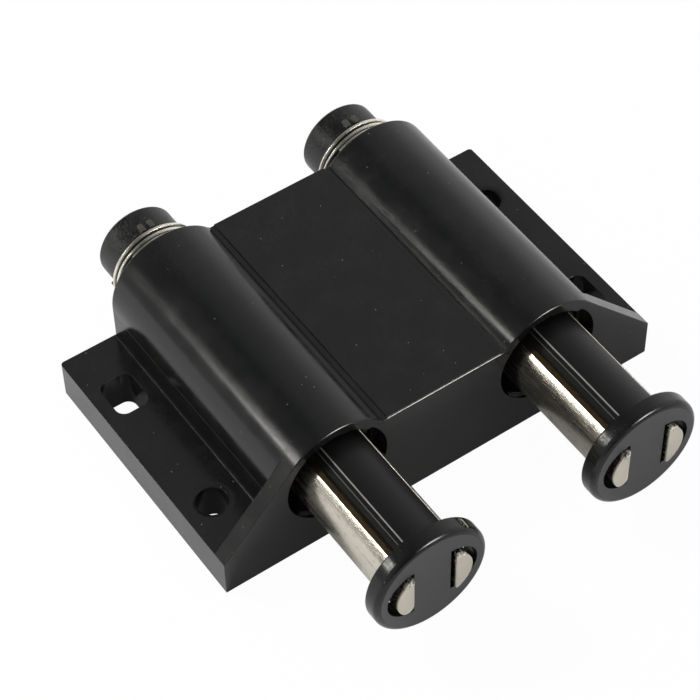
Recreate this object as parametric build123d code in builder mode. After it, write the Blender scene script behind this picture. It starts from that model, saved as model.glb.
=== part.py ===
from build123d import *
import os
from math import ceil, cos, radians, sin, sqrt

# Double magnetic touch catch: one moulded housing with two barrels, and in each
# barrel a sprung plunger with a magnet between two steel poles.
# Millimetres. +Z is up from the screwed-down underside, the heads point to -Y,
# and the origin is the centre of the four screw holes, on the underside.

# Housing
overall_width = 64.0
housing_length = 37.7
flange_thickness = 5.6
flange_rear_corner = 0.5
flange_front_corner = 0.4
barrel_spacing = 31.2
axis_height = 11.2
bore_radius = 7.1
barrel_wall = 1.2
barrel_foot_radius = 0.25
platform_height = 16.3
platform_edge_chamfer = 0.2
margin_width = 0.7
margin_depth = 0.2
gusset_thickness = 2.1
barrel_rear_chamfer = 0.3

# Screw holes midway on each flange: two round ones on one diagonal, two slots on the other
hole_spacing_y = 20.0
screw_hole_radius = 2.0
screw_sink_radius = 2.85
screw_sink_angle = 160
slot_width = 4.5
slot_length = 5.7
slot_corner = 1.3

# Coring of the platform from below
core_wall = 1.3
core_rib = 1.3
core_roof = 2.2
core_end_wall = 2.6
core_columns = 3
core_largest_cell = 5.6

# Mouth of each bore
mouth_depth = 0.6
lip_depth = 1.8
lip_height = 0.45
lip_half_gap = 4.6
stop_tab_height = 0.65
stop_tab_depth = 0.9
stop_tab_start = 0.5

# Rear wall of each barrel, with two tongues that keep the stem from turning
rear_wall = 3.4
tongue_width = 2.0
tongue_height = 0.9

# Plunger
plunger_radius = 5.5
plunger_reach = 18.95
travel = 12.0
head_radius = 7.9
head_thickness = 2.4
head_front_chamfer = 0.5
head_back_chamfer = 0.2
edge_groove_shallow_depth = 0.25
edge_groove_depth = 0.55
edge_groove_start = 19.0
edge_groove_middle = 25.5
edge_groove_end = 38.0

# Steel poles and magnet. A pole reaches further on one side of the barrel's axis
# than on the other, and the second pole of a pair is the first turned by half.
web_half_width = 2.95
pole_long_reach = 4.4
pole_short_reach = 3.65
pole_long_corner = 0.1
pole_short_corner = 0.4
pole_inset = 0.05
pole_end_wall = 1.1
tip_reach = 0.55
tip_half_height = 3.5
tip_outer_reach = 5.3
tip_long_corner = 0.35
tip_short_corner = 0.9
head_slot_half_height = 3.75
head_slot_inner = 2.6
head_slot_outer = 6.3
magnet_end_gap = 0.35
magnet_half_height = 3.5

# Latch: fixed guide with four slots, and the cam ring that turns on the stem
guide_front = 2.7
guide_wall = 0.5
cam_width = 2.2
cam_radius = 5.3
cam_lugs = 4
cam_lug_angle = 30.0
cam_lug_point = 0.7
guide_slot_angle = 40.0
lug_clearance = 0.2
seat_depth = 1.0
spigot_radius = 2.4
spigot_length = 8.0

# Stem, springs and tail cap
collar_width = 1.5
bore_step = 0.2
main_wire = 0.7
main_turns = 6.5
main_coil_gap = 0.25
cushion_wire = 0.6
cushion_turns = 2.9
cushion_length = 3.3
cushion_coil_gap = 0.2
sections_a_turn = 14
wire_sides = 6
cap_radius = 5.4
cap_length = 4.3
cap_rear_chamfer = 0.45
cap_wall = 1.2
cap_spigot_length = 2.6
cap_lug_height = 0.45
cap_lug_length = 1.3
cap_lug_width = 0.7
cap_lug_pitch = 1.3

# Clearances
running_clearance = 0.08
seat_clearance = 0.05
end_gap = 0.3
cam_end_gap = 0.2

# Worked-out sizes
front_y = -housing_length / 2
barrel_radius = bore_radius + barrel_wall
rear_bore_radius = bore_radius - bore_step
slot_radius = bore_radius - seat_clearance - guide_wall
lug_radius = slot_radius - lug_clearance
land_radius = plunger_radius + running_clearance
head_back = head_thickness - plunger_reach
cam_front = guide_front + end_gap
cam_back = cam_front + cam_width
land_front = cam_back + end_gap
land_back = cam_front + travel - end_gap
sleeve_back = cam_front - cam_end_gap
stem_front = cam_back + cam_end_gap
collar_front = land_back + end_gap
collar_back = collar_front + collar_width
rear_wall_front = housing_length - rear_wall
cushion_front = housing_length + end_gap
cap_front = cushion_front + cushion_length
pole_back = sleeve_back - pole_end_wall
spigot_front = sleeve_back + seat_clearance - spigot_length
magnet_front = head_back + seat_clearance
magnet_length = spigot_front - magnet_end_gap - magnet_front
hole_half_spacing_x = (barrel_spacing / 2 + barrel_radius + overall_width / 2) / 2

os.makedirs("parts", exist_ok=True)


def cross_section(x, station):
    """Plane across a barrel, at a distance behind the housing's front face.

    Its own x is X, its own y is Z from the barrel's axis, and a negative
    extrusion runs towards the rear."""
    return Plane(origin=(x, front_y + station, axis_height), x_dir=(1, 0, 0), z_dir=(0, -1, 0))


def turning_plane(x):
    """Plane for profiles that are turned about a barrel's axis: radius, then station."""
    return Plane(origin=(x, front_y, axis_height), x_dir=(1, 0, 0), z_dir=(0, 0, 1))


def barrel_axis(x):
    return Axis((x, front_y, axis_height), (0, 1, 0))


def polar(radius, angle):
    """Point at a radius, with the angle in degrees clockwise from the top."""
    return (radius * sin(radians(angle)), radius * cos(radians(angle)))


def save(part, name):
    part.label = name
    export_step(part, f"parts/{name}.step")


def make_housing():
    """One glass-filled nylon moulding: flanges, two barrels, platform and gussets."""
    front_plane = Plane(origin=(0, front_y, 0), x_dir=(1, 0, 0), z_dir=(0, -1, 0))
    barrel_xs = (-barrel_spacing / 2, barrel_spacing / 2)
    rise = platform_height - axis_height
    platform_half_width = barrel_spacing / 2 - sqrt(barrel_radius**2 - rise**2)

    with BuildPart() as housing:
        # Flange plate under everything
        with BuildSketch():
            Rectangle(overall_width, housing_length)
        extrude(amount=flange_thickness)
        uprights = housing.edges().filter_by(Axis.Z)
        fillet(uprights.group_by(Axis.Y)[-1], flange_rear_corner)
        fillet(uprights.group_by(Axis.Y)[0], flange_front_corner)

        # Barrels: round tops with upright sides down to the flange
        with BuildSketch(front_plane):
            for x in barrel_xs:
                with Locations((x, axis_height)):
                    Circle(barrel_radius)
                with Locations((x, axis_height / 2)):
                    Rectangle(2 * barrel_radius, axis_height)
        extrude(amount=-housing_length)
        rear_arcs = housing.edges().filter_by(GeomType.CIRCLE).group_by(Axis.Y)[-1]
        chamfer(rear_arcs, barrel_rear_chamfer)
        flange_edges = housing.edges().filter_by(Axis.Y)
        flange_edges = flange_edges.filter_by_position(Axis.Z, flange_thickness, flange_thickness)
        outer_feet = flange_edges.sort_by(Axis.X)[1:-1]
        fillet(outer_feet, barrel_foot_radius)

        # Platform between the barrels
        with BuildSketch(front_plane):
            with Locations((0, platform_height / 2)):
                Rectangle(barrel_spacing, platform_height)
        extrude(amount=-housing_length)

        # Front wall: each gusset runs tangent from the barrel to the flange's corner
        for x, side in zip(barrel_xs, (-1, 1)):
            with BuildSketch(front_plane):
                with Locations((x, axis_height)):
                    Circle(barrel_radius)
                width = overall_width / 2 - abs(x)
                with Locations((x + side * width / 2, flange_thickness / 2)):
                    Rectangle(width, flange_thickness)
                make_hull()
            extrude(amount=-gusset_thickness)

        # Narrow sunk margin beside each barrel, and the platform's broken front edge
        with BuildSketch(front_plane):
            for side in (-1, 1):
                x = side * (platform_half_width - margin_width / 2)
                with Locations((x, platform_height)):
                    Rectangle(margin_width, 2 * margin_depth)
        extrude(amount=-housing_length, mode=Mode.SUBTRACT)
        top = housing.faces().filter_by(Axis.Z).sort_by(Axis.Z)
        top = top.filter_by(lambda face: abs(face.center().Z - platform_height) < margin_depth / 2)
        front_edge = top.sort_by(SortBy.AREA)[-1].edges().sort_by(Axis.Y)[0]
        chamfer(front_edge, platform_edge_chamfer)

        for x in barrel_xs:
            # Bore with its mouth and a step that stops the guide
            with BuildSketch(cross_section(x, 0)):
                Circle(bore_radius)
            extrude(amount=-(land_back + seat_clearance), mode=Mode.SUBTRACT)
            with BuildSketch(cross_section(x, 0)):
                Circle(rear_bore_radius)
            extrude(amount=-rear_wall_front, mode=Mode.SUBTRACT)

            # Retaining lips above and below, open at both sides
            with BuildSketch(cross_section(x, mouth_depth)):
                Circle(bore_radius + barrel_wall / 2)
                Circle(bore_radius - lip_height, mode=Mode.SUBTRACT)
                Rectangle(3 * bore_radius, 2 * lip_half_gap, mode=Mode.SUBTRACT)
            extrude(amount=-lip_depth)

            # Deeper stop tab on the right half of the upper lip
            with BuildSketch(cross_section(x, mouth_depth / 2)):
                Circle(bore_radius + barrel_wall / 2)
                Circle(bore_radius - stop_tab_height, mode=Mode.SUBTRACT)
                with Locations((stop_tab_start, lip_half_gap)):
                    Rectangle(bore_radius, bore_radius, align=Align.MIN, mode=Mode.INTERSECT)
            extrude(amount=-stop_tab_depth)

            # Keyed hole in the rear wall
            with BuildSketch(cross_section(x, rear_wall_front)):
                Circle(land_radius)
                with Locations((-land_radius, 0), (land_radius, 0)):
                    Rectangle(2 * tongue_height, tongue_width, mode=Mode.SUBTRACT)
            extrude(amount=-rear_wall, mode=Mode.SUBTRACT)

        # Cores under the platform
        field_width = 2 * (barrel_spacing / 2 - bore_radius - core_wall)
        field_length = housing_length - 2 * core_end_wall
        rows = ceil((field_length + core_rib) / (core_largest_cell + core_rib))
        cell_width = (field_width - (core_columns - 1) * core_rib) / core_columns
        cell_length = (field_length - (rows - 1) * core_rib) / rows
        with BuildSketch():
            with GridLocations(cell_width + core_rib, cell_length + core_rib, core_columns, rows):
                Rectangle(cell_width, cell_length)
        extrude(amount=platform_height - core_roof, mode=Mode.SUBTRACT)

        # Round screw holes with a shallow sink, and slots for adjustment
        half_x, half_y = hole_half_spacing_x, hole_spacing_y / 2
        with Locations((-half_x, -half_y, flange_thickness), (half_x, half_y, flange_thickness)):
            CounterSinkHole(screw_hole_radius, screw_sink_radius,
                            counter_sink_angle=screw_sink_angle)
        with BuildSketch():
            with Locations((-half_x, half_y), (half_x, -half_y)):
                RectangleRounded(slot_width, slot_length, slot_corner)
        extrude(amount=flange_thickness, mode=Mode.SUBTRACT)
    return housing.part


def make_guide_sleeve(x):
    """Acetal sleeve pressed into the bore, with slots that the cam's lugs run in."""
    land_length = land_back - land_front
    seat_half_width = slot_radius * sin(radians(cam_lug_angle / 2))
    with BuildPart() as guide:
        with BuildSketch(cross_section(x, guide_front)):
            Circle(bore_radius - seat_clearance)
            Circle(slot_radius, mode=Mode.SUBTRACT)
        extrude(amount=-(land_back - guide_front))
        with BuildSketch(cross_section(x, land_front)):
            Circle(slot_radius + guide_wall / 2)
            Circle(land_radius, mode=Mode.SUBTRACT)
            with BuildLine():
                Polyline((0, 0), polar(2 * bore_radius, -guide_slot_angle / 2),
                         polar(2 * bore_radius, guide_slot_angle / 2), close=True)
            wedge = make_face(mode=Mode.PRIVATE)
            for index in range(cam_lugs):
                add(wedge.rotate(Axis.Z, index * 360 / cam_lugs), mode=Mode.SUBTRACT)
        extrude(amount=-land_length)
        # V seats at the rear of the lands, where the lugs come to rest when latched
        for index in range(cam_lugs):
            turn = (index + 0.5) * 360 / cam_lugs
            outward = Vector(sin(radians(turn)), 0, cos(radians(turn)))
            across = Vector(cos(radians(turn)), 0, -sin(radians(turn)))
            centre = Vector(x, front_y + land_back, axis_height)
            with BuildSketch(Plane(origin=centre, x_dir=across, z_dir=outward)) as seat:
                with BuildLine():
                    Polyline((-seat_half_width, 0), (0, seat_depth), (0, -seat_depth), close=True)
                make_face()
                mirror(about=Plane.YZ)
            extrude(amount=slot_radius, mode=Mode.SUBTRACT)
    return guide.part


def make_cam_ring(x):
    """Acetal ring that steps round on the stem at each push, with pointed lugs."""
    lug_half_width = lug_radius * sin(radians(cam_lug_angle / 2))
    with BuildPart() as ring:
        for index in range(cam_lugs):
            turn = index * 360 / cam_lugs
            outward = Vector(sin(radians(turn)), 0, cos(radians(turn)))
            across = Vector(cos(radians(turn)), 0, -sin(radians(turn)))
            centre = Vector(x, front_y + cam_back, axis_height)
            with BuildSketch(Plane(origin=centre, x_dir=across, z_dir=outward)) as lug:
                with BuildLine():
                    Polyline((0, 0), (lug_half_width, 0), (lug_half_width, cam_lug_point - cam_width),
                             (0, -cam_width), (-lug_half_width, cam_lug_point - cam_width),
                             (-lug_half_width, 0), close=True)
                make_face()
            extrude(amount=lug_radius)
        with BuildSketch(cross_section(x, cam_front)):
            Circle(lug_radius)
        extrude(amount=-cam_width, mode=Mode.INTERSECT)
        with BuildSketch(cross_section(x, cam_front)):
            Circle(cam_radius)
        extrude(amount=-cam_width)
        with BuildSketch(cross_section(x, cam_front)):
            Circle(spigot_radius + running_clearance)
        extrude(amount=-cam_width, mode=Mode.SUBTRACT)
    return ring.part


def make_plunger_sleeve(x):
    """Black moulded sleeve and head in one, with side pockets for the poles."""
    with BuildPart() as sleeve:
        # Turned form: head disc with broken rims, then the round body
        with BuildSketch(turning_plane(x)):
            with BuildLine():
                Polyline((0, -plunger_reach), (head_radius, -plunger_reach), (head_radius, head_back),
                         (plunger_radius, head_back), (plunger_radius, sleeve_back),
                         (0, sleeve_back), close=True)
            make_face()
        revolve(axis=barrel_axis(x))
        rims = sleeve.edges().filter_by(GeomType.CIRCLE).sort_by(SortBy.RADIUS)[-2:].sort_by(Axis.Y)
        chamfer(rims[0], head_front_chamfer)
        chamfer(rims[1], head_back_chamfer)

        # Pockets that the poles lie in, behind the head
        pocket_height = pole_long_reach + pole_short_reach + 2 * seat_clearance
        pocket_rise = (pole_long_reach - pole_short_reach) / 2
        with BuildSketch(cross_section(x, head_back)):
            for side in (-1, 1):
                centre_x = side * (web_half_width + plunger_radius / 2)
                with Locations((centre_x, -side * pocket_rise)):
                    Rectangle(plunger_radius, pocket_height)
        extrude(amount=-(pole_back + seat_clearance - head_back), mode=Mode.SUBTRACT)

        # Half-round windows in the head, for the pole tips
        with BuildSketch(cross_section(x, -plunger_reach)):
            for side in (-1, 1):
                with BuildLine():
                    top = (side * head_slot_inner, head_slot_half_height)
                    bottom = (side * head_slot_inner, -head_slot_half_height)
                    ThreePointArc(top, (side * head_slot_outer, 0), bottom)
                    Line(bottom, top)
                make_face()
        extrude(amount=-head_thickness, mode=Mode.SUBTRACT)

        # Pocket for the magnet, right through the web between the poles
        with BuildSketch(cross_section(x, head_back)):
            Rectangle(2 * web_half_width, 2 * (magnet_half_height + seat_clearance))
        extrude(amount=-(magnet_length + 2 * seat_clearance), mode=Mode.SUBTRACT)

        # Stepped groove along the long side of each pole, from the head to the rear end
        for depth, start, end in (
                (edge_groove_shallow_depth, edge_groove_start, edge_groove_middle),
                (edge_groove_depth, edge_groove_middle, edge_groove_end)):
            with BuildSketch(cross_section(x, head_back)):
                for turn in (-end, 180 - end):
                    with BuildLine():
                        Polyline((0, 0), polar(3 * plunger_radius, turn),
                                 polar(3 * plunger_radius, turn + end - start), close=True)
                    make_face()
                Circle(plunger_radius - depth, mode=Mode.SUBTRACT)
            extrude(amount=head_back - sleeve_back, mode=Mode.SUBTRACT)

        # Socket for the stem's spigot
        with BuildSketch(cross_section(x, sleeve_back)):
            Circle(spigot_radius + seat_clearance)
        extrude(amount=spigot_length, mode=Mode.SUBTRACT)
    return sleeve.part


def make_pole(x, turn):
    """Nickel-plated steel pole: flat against the magnet, round outside, with a tip.

    It is made on the -X side with its long side up, and turned about the barrel's axis."""
    with BuildPart() as pole:
        with BuildSketch(cross_section(x, head_back)) as section:
            Circle(plunger_radius - pole_inset)
            with Locations((-web_half_width, -pole_short_reach)):
                Rectangle(plunger_radius, pole_long_reach + pole_short_reach,
                          align=(Align.MAX, Align.MIN), mode=Mode.INTERSECT)
            fillet(section.vertices().group_by(Axis.Y)[-1], pole_long_corner)
            fillet(section.vertices().group_by(Axis.Y)[0], pole_short_corner)
        extrude(amount=head_back - pole_back)

        # Tip through the head, a flat with a round outer side and soft corners
        with BuildSketch(cross_section(x, -plunger_reach - tip_reach)) as tip:
            with BuildLine():
                top = (-web_half_width, tip_half_height)
                bottom = (-web_half_width, -tip_half_height)
                ThreePointArc(top, (-tip_outer_reach, 0), bottom)
                Line(bottom, top)
            make_face()
            fillet(tip.vertices().sort_by(Axis.Y)[-1], tip_long_corner)
            fillet(tip.vertices().sort_by(Axis.Y)[0], tip_short_corner)
        extrude(amount=-(tip_reach + head_thickness))
    return pole.part.rotate(barrel_axis(x), turn)


def make_magnet(x):
    """Ferrite block, magnetised across, between the flats of the two poles."""
    with BuildPart() as magnet:
        with BuildSketch(cross_section(x, magnet_front)):
            Rectangle(2 * (web_half_width - seat_clearance), 2 * magnet_half_height)
        extrude(amount=-magnet_length)
    return magnet.part


def make_stem(x):
    """Black moulded stem: spigot for the cam ring, collar for the spring, keyed tail."""
    with BuildPart() as stem:
        with BuildSketch(turning_plane(x)):
            with BuildLine():
                Polyline((0, spigot_front), (spigot_radius, spigot_front),
                         (spigot_radius, stem_front), (plunger_radius, stem_front),
                         (plunger_radius, collar_front),
                         (rear_bore_radius - lug_clearance, collar_front),
                         (rear_bore_radius - lug_clearance, collar_back),
                         (plunger_radius, collar_back), (plunger_radius, cap_front),
                         (cap_radius - cap_wall, cap_front),
                         (cap_radius - cap_wall, cap_front + cap_spigot_length),
                         (0, cap_front + cap_spigot_length), close=True)
            make_face()
        revolve(axis=barrel_axis(x))

        # Side grooves for the tongues of the rear wall, as long as the travel
        groove_front = rear_wall_front - travel - end_gap
        floor = land_radius - tongue_height - seat_clearance
        with BuildSketch(cross_section(x, groove_front)):
            for side in (-1, 1):
                with Locations((side * (floor + plunger_radius / 2), 0)):
                    Rectangle(plunger_radius, tongue_width + 2 * seat_clearance)
        extrude(amount=groove_front - housing_length - end_gap, mode=Mode.SUBTRACT)
    return stem.part


def make_tail_cap(x):
    """Black moulded cup on the stem's end, with lugs that keep the cushion spring on."""
    with BuildPart() as cap:
        with BuildSketch(cross_section(x, cap_front)):
            Circle(cap_radius)
        extrude(amount=-cap_length)
        chamfer(cap.faces().sort_by(Axis.Y)[-1].edges(), cap_rear_chamfer)
        # Three pairs of lugs; each lug is a short bar beside the spring
        lug_plane = Plane(origin=(x, front_y + cap_front, axis_height), x_dir=(1, 0, 0), z_dir=(0, 0, 1))
        for turn in (0, 120, 240):
            with BuildSketch(lug_plane.rotated((0, turn, 0))):
                for offset in (-cap_lug_pitch / 2, cap_lug_pitch / 2):
                    with Locations((offset, cap_lug_length / 2)):
                        Rectangle(cap_lug_width, cap_lug_length)
            extrude(amount=cap_radius + cap_lug_height)
        with BuildSketch(cross_section(x, cap_front)):
            Circle(cap_radius - cap_wall + seat_clearance)
        extrude(amount=-(cap_spigot_length + seat_clearance), mode=Mode.SUBTRACT)
    return cap.part


def make_spring(x, station, length, radius, wire, turns):
    """Steel wire wound about the barrel's axis, lofted through evenly spaced sections."""
    height = length - wire
    start = (x, front_y + station + wire / 2, axis_height)
    with BuildLine() as coil:
        Helix(pitch=height / turns, height=height, radius=radius, center=start, direction=(0, 1, 0))
    count = ceil(turns * sections_a_turn)
    with BuildPart() as spring:
        for index in range(count + 1):
            point = coil.line @ (index / count)
            outward = point - Vector(x, point.Y, axis_height)
            with BuildSketch(Plane(origin=point, x_dir=outward, z_dir=coil.line % (index / count))):
                RegularPolygon(wire / 2, wire_sides)
        loft(ruled=True)
    return spring.part


save(make_housing(), "housing")

for side_name, side in (("left", -1), ("right", 1)):
    x = side * barrel_spacing / 2
    main_length = rear_wall_front - collar_back - 2 * seat_clearance
    main_radius = plunger_radius + main_coil_gap + main_wire / 2
    cushion_radius = plunger_radius + cushion_coil_gap + cushion_wire / 2

    save(make_guide_sleeve(x), f"{side_name}_guide_sleeve")
    save(make_cam_ring(x), f"{side_name}_cam_ring")
    save(make_plunger_sleeve(x), f"{side_name}_plunger_sleeve")
    save(make_magnet(x), f"{side_name}_magnet")
    save(make_pole(x, 90 * (1 + side)), f"{side_name}_outer_pole")
    save(make_pole(x, 90 * (1 - side)), f"{side_name}_inner_pole")
    save(make_stem(x), f"{side_name}_stem")
    save(make_tail_cap(x), f"{side_name}_tail_cap")
    save(make_spring(x, collar_back + seat_clearance, main_length, main_radius,
                     main_wire, main_turns), f"{side_name}_main_spring")
    save(make_spring(x, cushion_front, cushion_length - seat_clearance, cushion_radius,
                     cushion_wire, cushion_turns), f"{side_name}_cushion_spring")
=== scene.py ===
import math

import bmesh
import bpy
from mathutils import Matrix, Vector, noise


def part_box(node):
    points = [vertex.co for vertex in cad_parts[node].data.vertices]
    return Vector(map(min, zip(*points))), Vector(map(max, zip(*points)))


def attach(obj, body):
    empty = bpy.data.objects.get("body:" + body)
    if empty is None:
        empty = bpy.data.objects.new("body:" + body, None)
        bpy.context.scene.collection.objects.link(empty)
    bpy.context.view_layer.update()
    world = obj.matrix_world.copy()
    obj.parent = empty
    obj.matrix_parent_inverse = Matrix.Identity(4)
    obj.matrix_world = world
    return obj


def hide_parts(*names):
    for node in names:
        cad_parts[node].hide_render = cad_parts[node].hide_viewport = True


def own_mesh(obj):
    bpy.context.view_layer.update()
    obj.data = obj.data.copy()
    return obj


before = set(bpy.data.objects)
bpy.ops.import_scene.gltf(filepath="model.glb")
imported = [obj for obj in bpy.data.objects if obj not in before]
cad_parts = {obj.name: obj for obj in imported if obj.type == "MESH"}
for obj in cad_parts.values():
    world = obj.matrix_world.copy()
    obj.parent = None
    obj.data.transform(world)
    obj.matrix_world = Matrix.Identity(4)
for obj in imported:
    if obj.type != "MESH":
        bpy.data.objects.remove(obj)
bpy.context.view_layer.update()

# The view of the catch: from its left, in front and above, with a long lens.
# The camera was fitted to the corners and holes of the real one.
mm = 0.001
azimuth = math.radians(-33.98)
elevation = math.radians(50.73)
roll = math.radians(-1.2)
camera_place = Vector((-114.24, -168.25, 253.01)) * mm

lens = bpy.data.cameras.new("catalogue_lens")
lens.lens = 130.9
lens.sensor_width = 36.0
lens.clip_start = 10 * mm
camera = bpy.data.objects.new("catalogue_camera", lens)
camera.matrix_world = (
    Matrix.Translation(camera_place)
    @ Matrix.Rotation(azimuth, 4, "Z")
    @ Matrix.Rotation(math.pi / 2 - elevation, 4, "X")
    @ Matrix.Rotation(roll, 4, "Z")
)
bpy.context.scene.collection.objects.link(camera)
bpy.context.scene.camera = camera
bpy.context.scene.view_settings.view_transform = "Standard"


# The studio: a white sheet under the catch, one soft lamp behind its left side, and a grey
# room with two soft lamps, one at the left and one in front, which the black plastic mirrors.
def linear(hex_colour):
    """An sRGB hex colour as the linear colour that a shader takes."""
    parts = [int(hex_colour[i : i + 2], 16) / 255 for i in (1, 3, 5)]
    return [c / 12.92 if c <= 0.04045 else ((c + 0.055) / 1.055) ** 2.4 for c in parts] + [1.0]


def add(tree, kind, settings=None, inputs=None, stops=()):
    """Adds a node with its settings; an input is a value, or a socket to link from.

    A colour ramp also has stops in rising order, each a position and a hex colour."""
    made = tree.nodes.new(kind)
    for name, value in (settings or {}).items():
        setattr(made, name, value)
    for name, value in (inputs or {}).items():
        if isinstance(value, bpy.types.NodeSocket):
            tree.links.new(value, made.inputs[name])
        else:
            made.inputs[name].default_value = value
    for _ in stops[2:]:
        made.color_ramp.elements.new(1.0)
    for number, (position, colour) in enumerate(stops):
        made.color_ramp.elements[number].position = position
        made.color_ramp.elements[number].color = linear(colour)
    return made


def material_named(name):
    """A new material with its tree emptied."""
    made = bpy.data.materials.new(name)
    made.use_nodes = True
    made.node_tree.nodes.clear()
    return made, made.node_tree


def put_in_scene(form, name, material, sharp_from=None):
    """A finished bmesh as a piece, smooth apart from edges sharper than that angle."""
    mesh = bpy.data.meshes.new(name)
    form.to_mesh(mesh)
    form.free()
    if sharp_from:
        mesh.shade_smooth()
        mesh.set_sharp_from_angle(angle=sharp_from)
    mesh.materials.append(material)
    piece = bpy.data.objects.new(name, mesh)
    bpy.context.scene.collection.objects.link(piece)
    return piece


def lamp_spot(tree, direction, centre, spread, brightness):
    """A soft round spot seen in that direction, fading out over about that many degrees."""
    falloff = 1 / math.radians(spread) ** 2
    facing = add(tree, "ShaderNodeVectorMath", {"operation": "DOT_PRODUCT"},
                 {0: direction, 1: Vector(centre).normalized()})
    front_half = add(tree, "ShaderNodeMath", {"operation": "MAXIMUM"},
                     {0: facing.outputs["Value"], 1: 0.0})
    fading = add(tree, "ShaderNodeMath", {"operation": "POWER"}, {0: front_half.outputs[0], 1: falloff})
    return add(tree, "ShaderNodeMath", {"operation": "MULTIPLY"},
               {0: fading.outputs[0], 1: brightness}).outputs[0]


# The room's greys, from its left side to its right.
room_tones = [
    (0.0, "#c3c3c3"),
    (0.09, "#b3b3b3"),
    (0.2, "#656667"),
    (0.35, "#505254"),
    (0.45, "#595b5d"),
    (0.535, "#858788"),
    (0.68, "#a2a3a3"),
    (0.8, "#bcbcbc"),
    (0.89, "#e7e7e7"),
    (1.0, "#ffffff"),
]
# Each soft lamp is two spots side by side: where it lies, how wide it is, how bright.
left_spread = 1.4
left_brightness = 47.0
front_spread = 5.0
front_brightness = 28.0
lamp_spots = [
    ((-0.79, 0.44, 0.395), left_spread, left_brightness),
    ((-0.73, 0.44, 0.50), left_spread, left_brightness),
    ((0.25, -0.85, 0.475), front_spread, front_brightness),
    ((0.42, -0.79, 0.45), front_spread, front_brightness),
]
lamp_colour = "#fffdf6"
ambient_strength = 0.45

world = bpy.data.worlds.new("studio_room")
world.use_nodes = True
bpy.context.scene.world = world
sky = world.node_tree
sky.nodes.clear()
direction = add(sky, "ShaderNodeTexCoord").outputs["Generated"]
sideways = add(sky, "ShaderNodeSeparateXYZ", inputs={0: direction}).outputs["X"]
from_left = add(sky, "ShaderNodeMapRange", inputs={"Value": sideways, "From Min": -1.0, "From Max": 1.0})
tones = add(sky, "ShaderNodeValToRGB", inputs={"Fac": from_left.outputs[0]}, stops=room_tones)
room = add(sky, "ShaderNodeBackground", inputs={"Color": tones.outputs["Color"]})
lamps = 0.0
for centre, spread, brightness in lamp_spots:
    spot = lamp_spot(sky, direction, centre, spread, brightness)
    lamps = add(sky, "ShaderNodeMath", {"operation": "ADD"}, {0: lamps, 1: spot}).outputs[0]
lit_lamps = add(sky, "ShaderNodeBackground", inputs={"Color": linear(lamp_colour), "Strength": lamps})
mirrored = add(sky, "ShaderNodeAddShader", inputs={0: room.outputs[0], 1: lit_lamps.outputs[0]})
ambient = add(sky, "ShaderNodeBackground",
              inputs={"Color": linear("#ffffff"), "Strength": ambient_strength})
backdrop = add(sky, "ShaderNodeBackground", inputs={"Color": linear("#ffffff"), "Strength": 1.0})
ray = add(sky, "ShaderNodeLightPath")
lit = add(sky, "ShaderNodeMixShader",
          inputs={0: ray.outputs["Is Glossy Ray"], 1: ambient.outputs[0], 2: mirrored.outputs[0]})
shown = add(sky, "ShaderNodeMixShader",
            inputs={0: ray.outputs["Is Camera Ray"], 1: lit.outputs[0], 2: backdrop.outputs[0]})
add(sky, "ShaderNodeOutputWorld", inputs={"Surface": shown.outputs[0]})

# Matt white paper, with no grain that shows from here. To the camera it is nearly all plain
# white, and the rest of it shows the catch's shadow. The plastic mirrors a little of the white.
white_share = 0.97
mirrored_share = 0.06
paper, tree = material_named("white_paper_sheet")
matt = add(tree, "ShaderNodeBsdfDiffuse", inputs={"Color": linear("#f4f4f4")})
white = add(tree, "ShaderNodeEmission", inputs={"Color": linear("#ffffff"), "Strength": 1.0})
ray = add(tree, "ShaderNodeLightPath")
seen = add(tree, "ShaderNodeMath", {"operation": "MULTIPLY"},
           {0: ray.outputs["Is Camera Ray"], 1: white_share})
share = add(tree, "ShaderNodeMath", {"operation": "MULTIPLY_ADD"},
            {0: ray.outputs["Is Glossy Ray"], 1: mirrored_share, 2: seen.outputs[0]})
mixed = add(tree, "ShaderNodeMixShader",
            inputs={0: share.outputs[0], 1: matt.outputs[0], 2: white.outputs[0]})
add(tree, "ShaderNodeOutputMaterial", inputs={"Surface": mixed.outputs[0]})

# The sheet lies a hair below the catch, so that the two faces don't show through each other.
sheet_reach = 2.0
sheet_drop = 0.02 * mm
sheet = bmesh.new()
bmesh.ops.create_grid(sheet, x_segments=1, y_segments=1, size=sheet_reach,
                      matrix=Matrix.Translation((0, 0, -sheet_drop)))
floor = put_in_scene(sheet, "white_sheet", paper)

# The lamp lights the catch but isn't mirrored in it: the room's own soft lamps are.
key_place = Vector((-0.36, 0.40, 0.59))
key = bpy.data.lights.new("left_rear_softbox", "AREA")
key.shape = "SQUARE"
key.size = 0.25
key.energy = 4.4
softbox = bpy.data.objects.new("left_rear_softbox", key)
softbox.location = key_place
softbox.rotation_euler = (-key_place).to_track_quat("-Z", "Y").to_euler()
softbox.visible_glossy = False
bpy.context.scene.collection.objects.link(softbox)


# The housing: one moulding in black glass-filled nylon, with its flanges, barrels,
# platform and front wall in one. The mould leaves its edges slightly round and its skin
# semi-gloss, and handling leaves fine scuffs, a thin film and a little dust.
def feature(size):
    """The texture scale that gives features about that many millimetres across."""
    return 1 / (size * mm)


def wear_and_painted_light(tree, place, colour, roughness, wear_and_light):
    """Colour and roughness with the marks over them, real wear and painted light alike: each a mask, a
    colour and a roughness.
    """
    for mask, mark_colour, mark_roughness in wear_and_light:
        there = mask(tree, place)
        colour = add(tree, "ShaderNodeMix", {"data_type": "RGBA"},
                     {"Factor": there, "A": colour, "B": linear(mark_colour)}).outputs["Result"]
        roughness = add(tree, "ShaderNodeMix", {"data_type": "FLOAT"},
                        {"Factor": there, "A": roughness, "B": mark_roughness}).outputs["Result"]
    return colour, roughness


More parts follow.
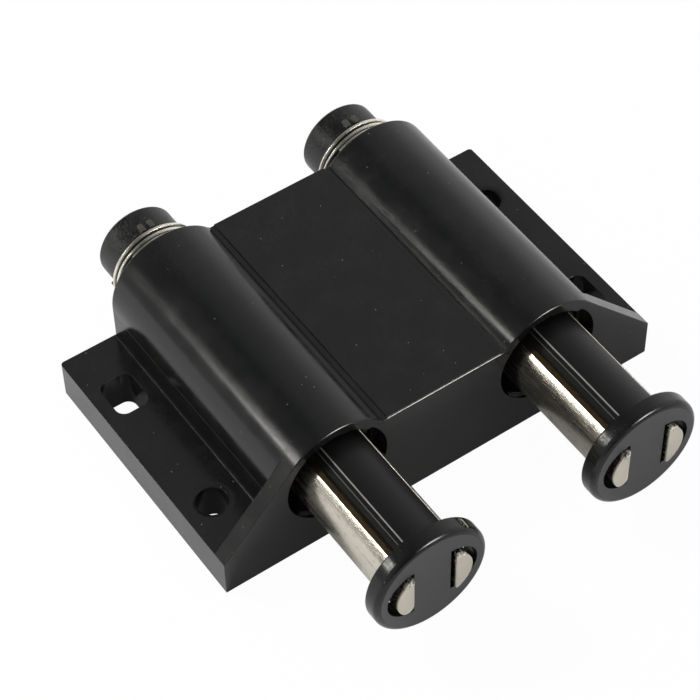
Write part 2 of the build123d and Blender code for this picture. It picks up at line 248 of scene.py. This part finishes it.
def moulded_plastic(name, colour, film_colour, film, gloss, scuffs, dust, ior, wear_and_light):
    """Black moulded plastic: a smooth skin with a patchy film, fine scuffs and dust specks.

    The moulded skin's own grain is too fine to show from here, so it is drawn coarser."""
    grain_size = 0.3
    patch_size = 3.5
    scratch_width = 0.4
    scratch_length = 8.0
    scratch_turn = (0.4, 0.2, 0.7)
    speck_spacing = 1.3
    speck_radius = 0.078
    relief_depth = 0.004 * mm
    made, tree = material_named(name)
    place = add(tree, "ShaderNodeTexCoord").outputs["Object"]
    grain = add(tree, "ShaderNodeTexNoise",
                inputs={"Vector": place, "Scale": feature(grain_size), "Detail": 3.0})
    clouds = add(tree, "ShaderNodeTexNoise",
                 inputs={"Vector": place, "Scale": feature(patch_size), "Detail": 5.0})
    wiped = add(tree, "ShaderNodeMapping",
                inputs={"Vector": place, "Rotation": scratch_turn,
                        "Scale": (1.0, scratch_width / scratch_length, 1.0)})
    scratches = add(tree, "ShaderNodeTexNoise",
                    inputs={"Vector": wiped.outputs[0], "Scale": feature(scratch_width), "Detail": 2.0})
    wear = add(tree, "ShaderNodeMath", {"operation": "MULTIPLY"},
               {0: grain.outputs["Fac"], 1: clouds.outputs["Fac"]})
    roughness = add(tree, "ShaderNodeMapRange",
                    inputs={"Value": wear.outputs[0], "From Min": 0.15, "From Max": 0.4,
                            "To Min": gloss, "To Max": gloss + scuffs})
    patches = add(tree, "ShaderNodeMapRange",
                  inputs={"Value": wear.outputs[0], "From Min": 0.22, "From Max": 0.42,
                          "To Min": 0.0, "To Max": film})
    filmed = add(tree, "ShaderNodeMix", {"data_type": "RGBA"},
                 {"Factor": patches.outputs[0], "A": linear(colour), "B": linear(film_colour)})
    cells = add(tree, "ShaderNodeTexVoronoi", inputs={"Vector": place, "Scale": feature(speck_spacing)})
    speck = add(tree, "ShaderNodeMath", {"operation": "LESS_THAN"},
                {0: cells.outputs["Distance"], 1: speck_radius / speck_spacing})
    chance = add(tree, "ShaderNodeSeparateColor", inputs={0: cells.outputs["Color"]})
    chosen = add(tree, "ShaderNodeMath", {"operation": "LESS_THAN"}, {0: chance.outputs[0], 1: dust})
    dusty = add(tree, "ShaderNodeMath", {"operation": "MULTIPLY"},
                {0: speck.outputs[0], 1: chosen.outputs[0]})
    skin = add(tree, "ShaderNodeMix", {"data_type": "RGBA"},
               {"Factor": dusty.outputs[0], "A": filmed.outputs["Result"], "B": linear("#6f6c65")})
    relief = add(tree, "ShaderNodeMath", {"operation": "ADD"},
                 {0: grain.outputs["Fac"], 1: scratches.outputs["Fac"]})
    bump = add(tree, "ShaderNodeBump",
               inputs={"Strength": 0.25, "Distance": relief_depth, "Height": relief.outputs[0]})
    shown_colour, shown_roughness = wear_and_painted_light(
        tree, place, skin.outputs["Result"], roughness.outputs[0], wear_and_light)
    shader = add(tree, "ShaderNodeBsdfPrincipled",
                 inputs={"Base Color": shown_colour, "Roughness": shown_roughness,
                         "IOR": ior, "Normal": bump.outputs[0]})
    add(tree, "ShaderNodeOutputMaterial", inputs={"Surface": shader.outputs[0]})
    return made


def rounded_copy(node, name, body, material, edge_round, softer=None, softer_round=0.0):
    """A copy of a solid with its sharp edges rounded.

    The edges that the test softer picks out are rounded more, before the rest."""
    weld_within = 0.0005 * mm
    flat_within = math.radians(0.1)
    rounded_from = math.radians(28)
    form = bmesh.new()
    form.from_mesh(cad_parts[node].data)
    bmesh.ops.remove_doubles(form, verts=form.verts, dist=weld_within)
    bmesh.ops.dissolve_limit(form, angle_limit=flat_within, verts=form.verts, edges=form.edges)
    for offset, chosen in ((softer_round, softer), (edge_round, lambda edge: True)):
        if chosen:
            sharp = [edge for edge in form.edges if len(edge.link_faces) == 2
                     and edge.calc_face_angle() > rounded_from and chosen(edge)]
            bmesh.ops.bevel(form, geom=sharp, offset=offset, offset_type="OFFSET", segments=3,
                            profile=0.5, affect="EDGES", material=-1, clamp_overlap=False)
    piece = put_in_scene(form, name, material, sharp_from=math.radians(40))
    even = piece.modifiers.new("even_normals", "WEIGHTED_NORMAL")
    even.keep_sharp = True
    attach(piece, body)
    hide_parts(node)


def barrel_axis(side):
    """The point at Y = 0 on the axis of one barrel, which is its plunger's too."""
    low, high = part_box(f"{side}_plunger_sleeve")
    return (low.x + high.x) / 2, 0, (low.z + high.z) / 2


axis_x, _, axis_z = barrel_axis("right")
barrel_radius = 8.3 * mm
barrel_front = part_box("housing")[0].y


def parting_line_highlight(tree, place):
    """A mask for the fine line that the mould's joint leaves along both side walls, drawn pale as a
    painted highlight on its ridge.
    """
    line_height = 10.15 * mm
    line_slope = 0.0186
    half_width = 0.05 * mm
    front_end = barrel_front + 2.4 * mm
    wall_from = axis_x + barrel_radius - 0.3 * mm
    at = add(tree, "ShaderNodeSeparateXYZ", inputs={0: place})
    height = add(tree, "ShaderNodeMath", {"operation": "MULTIPLY_ADD"},
                 {0: at.outputs["Y"], 1: line_slope, 2: at.outputs["Z"]})
    on_line = add(tree, "ShaderNodeMath", {"operation": "COMPARE"},
                  {0: height.outputs[0], 1: line_height, 2: half_width})
    sideways = add(tree, "ShaderNodeMath", {"operation": "ABSOLUTE"}, {0: at.outputs["X"]})
    on_wall = add(tree, "ShaderNodeMath", {"operation": "GREATER_THAN"},
                  {0: sideways.outputs[0], 1: wall_from})
    behind = add(tree, "ShaderNodeMath", {"operation": "GREATER_THAN"},
                 {0: at.outputs["Y"], 1: front_end})
    walled = add(tree, "ShaderNodeMath", {"operation": "MULTIPLY"},
                 {0: on_wall.outputs[0], 1: behind.outputs[0]})
    return add(tree, "ShaderNodeMath", {"operation": "MULTIPLY"},
               {0: on_line.outputs[0], 1: walled.outputs[0]}).outputs[0]


def barrel_mouth(edge):
    """A test for the edges round the front of the barrels."""
    front_to = barrel_front + 0.05 * mm
    radius_from = barrel_radius - 0.2 * mm
    return all(vert.co.y < front_to and vert.co.z > axis_z
               and math.hypot(abs(vert.co.x) - axis_x, vert.co.z - axis_z) > radius_from
               for vert in edge.verts)


# The parting line's pale colour is a painted highlight on the joint's ridge.
nylon = moulded_plastic(
    "moulded_black_nylon", "#151615", "#252523", film=0.5, gloss=0.15, scuffs=0.12, dust=0.4,
    ior=1.46, wear_and_light=[(parting_line_highlight, "#3e3e3c", 0.5)])
rounded_copy("housing", "moulded_housing", "base", nylon, edge_round=0.08 * mm,
             softer=barrel_mouth, softer_round=0.15 * mm)

# The plungers: a black acetal sleeve and head in one moulding, a slotted tube with a thick
# round face. The front face is worn matt by the strike plate, and its grey is a painted
# reflection of the white sheet in front of it. The sleeve is worn matt by its bore.
sleeve_low, sleeve_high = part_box("right_plunger_sleeve")
head_front = sleeve_low.y
head_radius = (sleeve_high.x - sleeve_low.x) / 2
head_thickness = 2.4 * mm
head_back = head_front + head_thickness
sleeve_radius = 5.5 * mm


def between(front, back):
    """A mask for what lies between two planes across the barrels."""
    def mask(tree, place):
        depth = add(tree, "ShaderNodeSeparateXYZ", inputs={0: place}).outputs["Y"]
        return add(tree, "ShaderNodeMath", {"operation": "COMPARE"},
                   {0: depth, 1: (front + back) / 2, 2: (back - front) / 2}).outputs[0]

    return mask


def along_edge(radius, degrees, reach, front, back):
    """A mask for the edge at that radius and angle from the top, to the right, on either plunger."""
    turn = math.radians(degrees)
    edge = (axis_x + radius * math.sin(turn), 0, axis_z + radius * math.cos(turn))

    def mask(tree, place):
        # Wrapping X by the barrels' spacing brings the left plunger to the right one's place.
        wrapped = add(tree, "ShaderNodeVectorMath", {"operation": "WRAP"},
                      {0: place, 1: (2 * axis_x, 1, 1), 2: (0, -1, -1)})
        flat = add(tree, "ShaderNodeVectorMath", {"operation": "MULTIPLY"},
                   {0: wrapped.outputs[0], 1: (1, 0, 1)})
        distance = add(tree, "ShaderNodeVectorMath", {"operation": "DISTANCE"},
                       {0: flat.outputs[0], 1: edge})
        near = add(tree, "ShaderNodeMath", {"operation": "LESS_THAN"},
                   {0: distance.outputs["Value"], 1: reach})
        return add(tree, "ShaderNodeMath", {"operation": "MULTIPLY"},
                   {0: near.outputs[0], 1: between(front, back)(tree, place)}).outputs[0]

    return mask


def gate_mark_highlight(tree, place):
    """A mask for the spot on the left head's rim where the plastic was let into the mould; its pale
    colour is a painted highlight.
    """
    rim_margin = 0.5 * mm
    spot = along_edge(head_radius, degrees=42.0, reach=0.14 * mm,
                      front=head_front + rim_margin, back=head_back - rim_margin)
    sideways = add(tree, "ShaderNodeSeparateXYZ", inputs={0: place}).outputs["X"]
    at_left = add(tree, "ShaderNodeMath", {"operation": "LESS_THAN"}, {0: sideways, 1: 0.0})
    return add(tree, "ShaderNodeMath", {"operation": "MULTIPLY"},
               {0: spot(tree, place), 1: at_left.outputs[0]}).outputs[0]


face_margin = 0.01 * mm
front_face = between(head_front - face_margin, head_front + face_margin)
rubbed_sleeve = between(head_back, 0.0)

# A stepped groove runs along each sleeve at its upper left, down to the pole. The groove's
# edge and its step carry painted highlights, thin pale lines.
highlight_reach = 0.16 * mm
step_depth = 0.15 * mm
groove_edge_highlight = along_edge(sleeve_radius, degrees=-19.0, reach=highlight_reach, front=head_back, back=0.0)
groove_step_highlight = along_edge(sleeve_radius - step_depth, degrees=-25.5, reach=highlight_reach,
                         front=head_back, back=0.0)
acetal = moulded_plastic(
    "moulded_black_acetal", "#151615", "#2a2a29", film=0.35, gloss=0.14, scuffs=0.12, dust=0.35,
    ior=1.42, wear_and_light=[
        # The front face: worn matt, with its grey a painted reflection of the white sheet.
        (front_face, "#4e4e4f", 0.4),
        (rubbed_sleeve, "#121312", 0.45),
        # Painted highlights along the groove's edge and its step.
        (groove_edge_highlight, "#8f8c89", 0.3),
        (groove_step_highlight, "#55534e", 0.4),
        # The gate mark's pale spot is a painted highlight.
        (gate_mark_highlight, "#c4bfb4", 0.4),
    ])


def front_rim(edge):
    """A test for the edges round the front of the heads."""
    front_to = head_front + 1.0 * mm
    radius_from = head_radius - 0.7 * mm
    return all(vert.co.y < front_to
               and math.hypot(abs(vert.co.x) - axis_x, vert.co.z - axis_z) > radius_from
               for vert in edge.verts)


for side in ("left", "right"):
    rounded_copy(f"{side}_plunger_sleeve", f"{side}_head_and_sleeve", f"{side}_plunger",
                 acetal, edge_round=0.08 * mm, softer=front_rim,
                 softer_round=0.3 * mm)


# The poles: four bars of nickel-plated steel, drawn lengthwise and let into the sleeves,
# with their ends sheared off proud of the heads. The plating is worn and slightly stained.
def drawn_nickel(name, colour, stain, gloss, streak_width, streak_length, wear_and_light=()):
    """Nickel-plated drawn steel: bright, with streaks that run the way it was drawn.

    The real draw lines are too fine to show from here, so the streaks are wider."""
    stain_size = 0.9
    streak_roughness = 0.1
    relief_depth = 0.006 * mm
    made, tree = material_named(name)
    place = add(tree, "ShaderNodeTexCoord").outputs["Object"]
    along = add(tree, "ShaderNodeMapping",
                inputs={"Vector": place, "Scale": (1.0, streak_width / streak_length, 1.0)})
    streaks = add(tree, "ShaderNodeTexNoise",
                  inputs={"Vector": along.outputs[0], "Scale": feature(streak_width), "Detail": 4.0})
    stains = add(tree, "ShaderNodeTexNoise",
                 inputs={"Vector": place, "Scale": feature(stain_size), "Detail": 4.0})
    tone = add(tree, "ShaderNodeMath", {"operation": "MULTIPLY"},
               {0: streaks.outputs["Fac"], 1: stains.outputs["Fac"]})
    colours = add(tree, "ShaderNodeValToRGB", inputs={"Fac": tone.outputs[0]},
                  stops=[(0.08, stain), (0.22, colour), (1.0, colour)])
    roughness = add(tree, "ShaderNodeMapRange",
                    inputs={"Value": streaks.outputs["Fac"], "From Min": 0.3, "From Max": 0.7,
                            "To Min": gloss, "To Max": gloss + streak_roughness})
    bump = add(tree, "ShaderNodeBump",
               inputs={"Strength": 0.4, "Distance": relief_depth, "Height": streaks.outputs["Fac"]})
    shown_colour, shown_roughness = wear_and_painted_light(
        tree, place, colours.outputs["Color"], roughness.outputs[0], wear_and_light)
    shader = add(tree, "ShaderNodeBsdfPrincipled",
                 inputs={"Base Color": shown_colour, "Metallic": 1.0, "Roughness": shown_roughness,
                         "Normal": bump.outputs[0]})
    add(tree, "ShaderNodeOutputMaterial", inputs={"Surface": shader.outputs[0]})
    return made


tip_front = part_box("right_outer_pole")[0].y
tip_margin = 0.02 * mm
shear_depth = 0.25 * mm
sheared_end = between(tip_front - tip_margin, tip_front + shear_depth)


def torn_bits(degrees, low, high):
    """A mask for bits of a tip's torn upper corner, where its grain lies between two values."""
    corner_radius = 4.6 * mm
    corner_reach = 0.5 * mm
    bit_size = 0.35
    corner = along_edge(corner_radius, degrees, corner_reach,
                        front=tip_front - 0.1 * mm, back=tip_front + 0.6 * mm)

    def mask(tree, place):
        grain = add(tree, "ShaderNodeTexNoise",
                    inputs={"Vector": place, "Scale": feature(bit_size), "Detail": 1.0})
        chosen = add(tree, "ShaderNodeMath", {"operation": "COMPARE"},
                     {0: grain.outputs["Fac"], 1: (low + high) / 2, 2: (high - low) / 2})
        return add(tree, "ShaderNodeMath", {"operation": "MULTIPLY"},
                   {0: corner(tree, place), 1: chosen.outputs[0]}).outputs[0]

    return mask


# The torn corners are spotted with painted shade, near-black, in their hollows and with painted glints,
# white, on the torn steel.
torn_glints_and_shade = []
for degrees in (-47.0, 47.0):
    torn_glints_and_shade.append((torn_bits(degrees, 0.2, 0.43), "#171410", 0.5))
    torn_glints_and_shade.append((torn_bits(degrees, 0.55, 0.9), "#ffffff", 0.35))

# On each plunger, the right pole's upper edge carries a painted highlight, and the left pole's
# a painted shade where it meets the sleeve's groove.
pole_radius = 5.45 * mm
pole_edge_highlight = along_edge(pole_radius, degrees=48.0, reach=0.45 * mm, front=head_back, back=0.0)
pole_groove_shadow = along_edge(pole_radius, degrees=-38.5, reach=0.43 * mm, front=head_back, back=0.0)
pole_nickel = drawn_nickel(
    "nickel_plated_drawn_steel", "#d3cdc1", "#8f897a", gloss=0.2, streak_width=0.18,
    streak_length=9.0, wear_and_light=[
        (sheared_end, "#d3cec2", 0.6),
        *torn_glints_and_shade,
        # Painted shade by the groove, and a painted highlight on the right pole's upper edge.
        (pole_groove_shadow, "#3c3325", 0.5),
        (pole_edge_highlight, "#fffaf0", 0.75),
    ])
for side in ("left", "right"):
    for pole in ("outer", "inner"):
        rounded_copy(f"{side}_{pole}_pole", f"{side}_{pole}_steel_pole", f"{side}_plunger",
                     pole_nickel, edge_round=0.06 * mm)


# The burrs: shears that cut the poles off have torn a small lip up at the upper end of each
# tip, and it was left as it broke. It is the same plated steel.
tear_seed = 3
noise.seed_set(tear_seed)


def torn_lip(name, side, outward):
    """The lip at the upper end of one tip, from its front back into the head.

    The tip's round side faces right where outward is 1, and left where it is -1. The outline
    is seen from the front, in millimetres outward and up from the barrel's axis."""
    outline = ((2.97, 2.1), (4.3, 2.8), (3.8, 3.3), (3.3, 3.5), (2.95, 3.52))
    depth = 0.9 * mm
    ragged = 0.07 * mm
    tear_size = 0.3
    centre = Vector(barrel_axis(side))
    lip = bmesh.new()
    corners = [lip.verts.new(centre + Vector((outward * across, 0, up)) * mm + Vector((0, tip_front, 0)))
               for across, up in outline]
    bmesh.ops.contextual_create(lip, geom=corners)
    made = bmesh.ops.extrude_face_region(lip, geom=list(lip.faces))["geom"]
    bmesh.ops.translate(lip, verts=[part for part in made if isinstance(part, bmesh.types.BMVert)],
                        vec=(0, depth, 0))
    bmesh.ops.triangulate(lip, faces=lip.faces)
    bmesh.ops.subdivide_edges(lip, edges=lip.edges, cuts=4, use_grid_fill=True)
    for vert in lip.verts:
        shove = noise.noise_vector(vert.co * feature(tear_size)) * ragged
        vert.co += Vector((shove.x, max(0.0, shove.y), shove.z))
    bmesh.ops.recalc_face_normals(lip, faces=lip.faces)
    piece = put_in_scene(lip, name, pole_nickel, sharp_from=math.radians(35))
    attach(piece, f"{side}_plunger")


for side in ("left", "right"):
    torn_lip(f"{side}_tip_burr_at_left", side, -1)
    torn_lip(f"{side}_tip_burr_at_right", side, 1)


# The tail caps: small black acetal cups on the plungers' rear ends, with pairs of lugs
# that keep the spring on. They are handled most, so they are dusty and mottled.
def lug_tops(tree, place):
    """A mask for the tops of the lugs, which stand proud of the caps."""
    cap_radius = 5.4 * mm
    proud_by = 0.12 * mm
    sideways = add(tree, "ShaderNodeVectorMath", {"operation": "ABSOLUTE"}, {0: place})
    flat = add(tree, "ShaderNodeVectorMath", {"operation": "MULTIPLY"},
               {0: sideways.outputs[0], 1: (1, 0, 1)})
    from_axis = add(tree, "ShaderNodeVectorMath", {"operation": "DISTANCE"},
                    {0: flat.outputs[0], 1: (axis_x, 0, axis_z)})
    return add(tree, "ShaderNodeMath", {"operation": "GREATER_THAN"},
               {0: from_axis.outputs["Value"], 1: cap_radius + proud_by}).outputs[0]


dusty_acetal = moulded_plastic(
    "handled_black_acetal", "#141514", "#3a3936", film=0.9, gloss=0.25, scuffs=0.3, dust=0.6,
    ior=1.45, wear_and_light=[(lug_tops, "#454440", 0.5)])
for side in ("left", "right"):
    rounded_copy(f"{side}_tail_cap", f"{side}_tail_cup", f"{side}_plunger",
                 dusty_acetal, edge_round=0.12 * mm)

# Inside the barrels: stem, cam ring and slotted guide in the plungers' black acetal, and the
# magnet between the poles, in ferrite ground to a dull grey. Only their ends can be glimpsed.
grit_size = 0.2
ferrite, tree = material_named("ground_ferrite")
place = add(tree, "ShaderNodeTexCoord").outputs["Object"]
grit = add(tree, "ShaderNodeTexNoise",
           inputs={"Vector": place, "Scale": feature(grit_size), "Detail": 4.0})
greys = add(tree, "ShaderNodeValToRGB", inputs={"Fac": grit.outputs["Fac"]},
            stops=[(0.3, "#2c2b2a"), (0.7, "#4a4846")])
shader = add(tree, "ShaderNodeBsdfPrincipled",
             inputs={"Base Color": greys.outputs["Color"], "Roughness": 0.6})
add(tree, "ShaderNodeOutputMaterial", inputs={"Surface": shader.outputs[0]})
inner_finishes = {"stem": acetal, "cam_ring": acetal, "guide_sleeve": acetal, "magnet": ferrite}
for side in ("left", "right"):
    for node, finish in inner_finishes.items():
        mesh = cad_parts[f"{side}_{node}"].data
        mesh.materials.clear()
        mesh.materials.append(finish)

# The main springs: stiff nickel-plated wire, wound evenly, between the stem's collar and
# the barrel's rear wall. In the catch they shorten as the plungers are pushed in; here each
# is built once, at its resting length, and hangs on the base.
spring_nickel = drawn_nickel("nickel_plated_spring_wire", "#f8f4e8", "#d9d3c4", gloss=0.26,
                             streak_width=0.3, streak_length=0.3)


def wound_spring(name, centre, start, radius, wire, first_angle, leads):
    """Round wire wound about a line along Y: an eighth of a turn for each lead.

    The first angle is clockwise from the top, seen from the front."""
    wire_sides = 12
    steps = 6
    coil = bmesh.new()
    ring = bmesh.ops.create_circle(coil, radius=wire / 2, segments=wire_sides)["verts"]
    bmesh.ops.rotate(coil, verts=ring, matrix=Matrix.Rotation(math.pi / 2, 3, "Y"))
    bmesh.ops.translate(coil, verts=ring, vec=(0, start + wire / 2, radius))
    bmesh.ops.rotate(coil, verts=ring, matrix=Matrix.Rotation(first_angle, 3, "Y"))
    bmesh.ops.translate(coil, verts=ring, vec=centre)
    end = list(coil.verts) + list(coil.edges)
    for lead in leads:
        end = bmesh.ops.spin(coil, geom=end, cent=centre, axis=(0, 1, 0), dvec=(0, lead / steps, 0),
                             angle=math.pi / 4, steps=steps)["geom_last"]
    bmesh.ops.holes_fill(coil, edges=[edge for edge in coil.edges if edge.is_boundary], sides=0)
    bmesh.ops.recalc_face_normals(coil, faces=coil.faces)
    piece = put_in_scene(coil, name, spring_nickel, sharp_from=math.radians(50))
    return piece


main_wire = 0.7 * mm
main_radius = 6.1 * mm
main_first_angle = math.radians(90)
main_eighths = 52
for side in ("left", "right"):
    centre = barrel_axis(side)
    low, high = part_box(f"{side}_main_spring")
    lead = (high.y - low.y - main_wire) / main_eighths
    main_spring = wound_spring(f"{side}_main_coil", centre, low.y, main_radius, main_wire,
                               main_first_angle, [lead] * main_eighths)
    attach(main_spring, "base")
    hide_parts(f"{side}_main_spring")
    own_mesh(main_spring)

# The cushion springs: two and a half loose turns of thin nickel-plated wire round each
# tail, against the cap. The turns are uneven, and the square-cut end shows at the left.
cushion_wire = 0.5 * mm
cushion_radius = 5.95 * mm
cushion_reach = 2.35 * mm
cushion_first_angle = math.radians(-38)
tight = 0.03 * mm
loose = 0.22 * mm
cushion_leads = [
    tight, tight, loose, loose, 0.1 * mm, 0.0, tight, tight,
    tight, 0.05 * mm, loose, loose, 0.2 * mm, 0.05 * mm, tight, tight,
    tight, 0.05 * mm, 0.1 * mm, 0.1 * mm,
]
for side in ("left", "right"):
    cap_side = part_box(f"{side}_cushion_spring")[1].y
    cushion_spring = wound_spring(f"{side}_cushion_coil", barrel_axis(side), cap_side - cushion_reach,
                                  cushion_radius, cushion_wire, cushion_first_angle, cushion_leads)
    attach(cushion_spring, f"{side}_plunger")
    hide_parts(f"{side}_cushion_spring")
